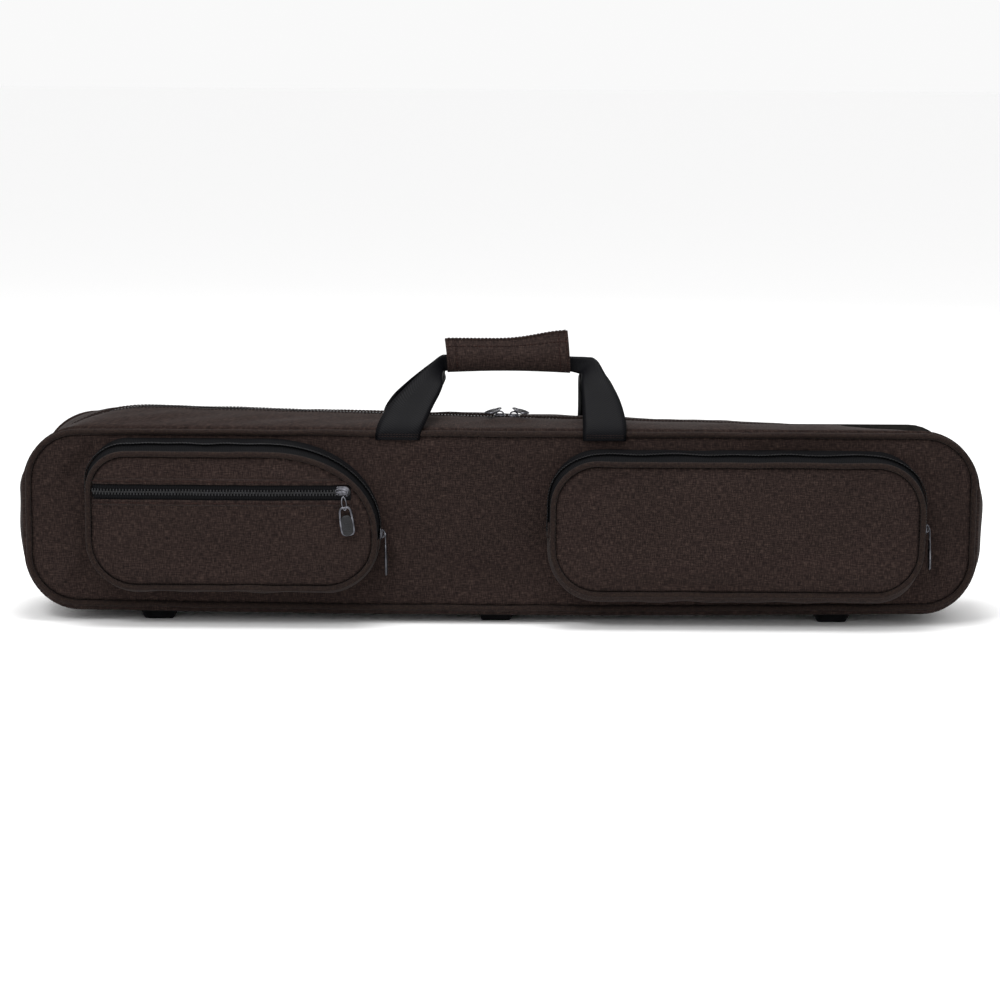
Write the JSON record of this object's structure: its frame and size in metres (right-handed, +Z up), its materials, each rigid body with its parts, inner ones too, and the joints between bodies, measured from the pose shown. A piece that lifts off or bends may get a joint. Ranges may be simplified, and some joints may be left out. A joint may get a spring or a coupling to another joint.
{
  "type": "cue case",
  "caption": "Soft zipped case for billiard cues, opening as two padded half shells, with piped front pockets, rubber feet and webbing handles held by a wrapped grip.",
  "frame": {"origin": "centre of the bounding box at the height of the feet", "axes": "+X along the case, to the right seen from the pocket side, -Y towards the pockets, +Z up"},
  "size_m": [0.868, 0.16, 0.2518],
  "materials": {
    "heather_cloth": "woven heather polyester",
    "lining_cloth": "brushed knit",
    "webbing": "twill woven webbing",
    "zip_tape": "woven zip tape and nylon coil",
    "elastic_tape": "woven tape",
    "foam": "velour covered foam",
    "stiffener_board": "plain board",
    "foot_rubber": "matt moulded",
    "gunmetal": "dark plated cast metal"
  },
  "bodies": {
    "rear_shell": {"rear_panel": "heather_cloth", "rear_piping": "heather_cloth", "rear_gusset": "heather_cloth", "rear_base_strip": "heather_cloth", "rear_stiffener": "stiffener_board", "rear_lining": "lining_cloth", "rear_zip_tape": "zip_tape", "rear_feet": "foot_rubber", "hinge_tape": "elastic_tape", "butt_cradle_left": "foam", "butt_cradle_middle": "foam", "butt_cradle_right": "foam", "butt_bands": "elastic_tape"},
    "front_shell": {"front_panel": "heather_cloth", "front_piping": "heather_cloth", "front_gusset": "heather_cloth", "front_base_strip": "heather_cloth", "front_stiffener": "stiffener_board", "front_lining": "lining_cloth", "front_zip_tape": "zip_tape", "front_feet": "foot_rubber", "shaft_cradle_left": "foam", "shaft_cradle_middle": "foam", "shaft_cradle_right": "foam", "shaft_bands": "elastic_tape", "left_pouch": "heather_cloth", "left_pouch_piping": "heather_cloth", "left_zip_inner": "zip_tape", "right_pouch": "heather_cloth", "right_pouch_piping": "heather_cloth", "right_zip_inner": "zip_tape"},
    "left_pocket_flap": {"left_flap": "heather_cloth", "left_flap_piping": "heather_cloth", "left_zip_outer": "zip_tape", "left_face_zip": "zip_tape", "left_face_liner": "lining_cloth"},
    "right_pocket_flap": {"right_flap": "heather_cloth", "right_flap_piping": "heather_cloth", "right_zip_outer": "zip_tape"},
    "main_slider_left": {"main_slider_left": "gunmetal"},
    "main_pull_left": {"main_pull_left": "gunmetal"},
    "main_slider_right": {"main_slider_right": "gunmetal"},
    "main_pull_right": {"main_pull_right": "gunmetal"},
    "left_slider": {"left_slider": "gunmetal"},
    "left_pull": {"left_pull": "gunmetal"},
    "right_slider": {"right_slider": "gunmetal"},
    "right_pull": {"right_pull": "gunmetal"},
    "face_slider": {"face_slider": "gunmetal"},
    "face_pull": {"face_pull": "gunmetal"},
    "front_handle": {"front_webbing": "webbing", "grip_loop_tape": "elastic_tape"},
    "rear_handle": {"rear_webbing": "webbing", "grip_rear": "heather_cloth"},
    "grip_flap": {"grip_front": "heather_cloth", "grip_hook_tape": "elastic_tape"}
  },
  "joints": [
    {"name": "lid_hinge", "type": "hinge", "parent": "rear_shell", "child": "front_shell", "pos_m": [0, 0.0158, 0.006], "axis": [1, 0, 0], "range_deg": [0, 150]},
    {"name": "front_handle_fold", "type": "hinge", "parent": "front_shell", "child": "front_handle", "pos_m": [0, -0.0474, 0.171], "axis": [1, 0, 0], "range_deg": [0, 120]},
    {"name": "rear_handle_fold", "type": "hinge", "parent": "rear_shell", "child": "rear_handle", "pos_m": [0, 0.079, 0.171], "axis": [-1, 0, 0], "range_deg": [0, 170]},
    {"name": "grip_wrap_open", "type": "hinge", "parent": "front_handle", "child": "grip_flap", "pos_m": [0.0065, 0.01236, 0.22349], "axis": [1, 0, 0], "range_deg": [0, 110]},
    {"name": "main_slide_left", "type": "slide", "parent": "rear_shell", "child": "main_slider_left", "axis": [-0.9996, 0, 0.0287], "range_m": [0, 0.296]},
    {"name": "main_pull_left_lift", "type": "hinge", "parent": "main_slider_left", "child": "main_pull_left", "pos_m": [-0.0015, 0.0128, 0.18966], "axis": [-0.866, 0.5, 0], "range_deg": [0, 90]},
    {"name": "main_slide_right", "type": "slide", "parent": "rear_shell", "child": "main_slider_right", "axis": [0.9996, 0, -0.0287], "range_m": [0, 0.296]},
    {"name": "main_pull_right_lift", "type": "hinge", "parent": "main_slider_right", "child": "main_pull_right", "pos_m": [0.0115, 0.0128, 0.18966], "axis": [-0.866, -0.5, 0], "range_deg": [0, 90]},
    {"name": "left_flap_open", "type": "hinge", "parent": "front_shell", "child": "left_pocket_flap", "pos_m": [-0.37, -0.0752, 0.117], "axis": [0.9878, 0, -0.1558], "range_deg": [0, 100]},
    {"name": "left_slide", "type": "slide", "parent": "front_shell", "child": "left_slider", "axis": [0, 0, 1], "range_m": [0, 0.012]},
    {"name": "left_pull_swing", "type": "hinge", "parent": "left_slider", "child": "left_pull", "pos_m": [-0.1049, -0.061, 0.08], "axis": [0, -1, 0], "range_deg": [0, 90]},
    {"name": "right_flap_open", "type": "hinge", "parent": "front_shell", "child": "right_pocket_flap", "pos_m": [0.211, -0.0752, 0.084], "axis": [1, 0, 0], "range_deg": [0, 100]},
    {"name": "right_slide", "type": "slide", "parent": "front_shell", "child": "right_slider", "axis": [0, 0, 1], "range_m": [0, 0.013]},
    {"name": "right_pull_swing", "type": "hinge", "parent": "right_slider", "child": "right_pull", "pos_m": [0.3831, -0.061, 0.087], "axis": [0, -1, 0], "range_deg": [0, 90]},
    {"name": "face_slide", "type": "slide", "parent": "left_pocket_flap", "child": "face_slider", "axis": [-1, 0, 0], "range_m": [0, 0.214]},
    {"name": "face_pull_swing", "type": "hinge", "parent": "face_slider", "child": "face_pull", "pos_m": [-0.14, -0.07915, 0.12], "axis": [-1, 0, 0], "range_deg": [0, 150]}
  ]
}
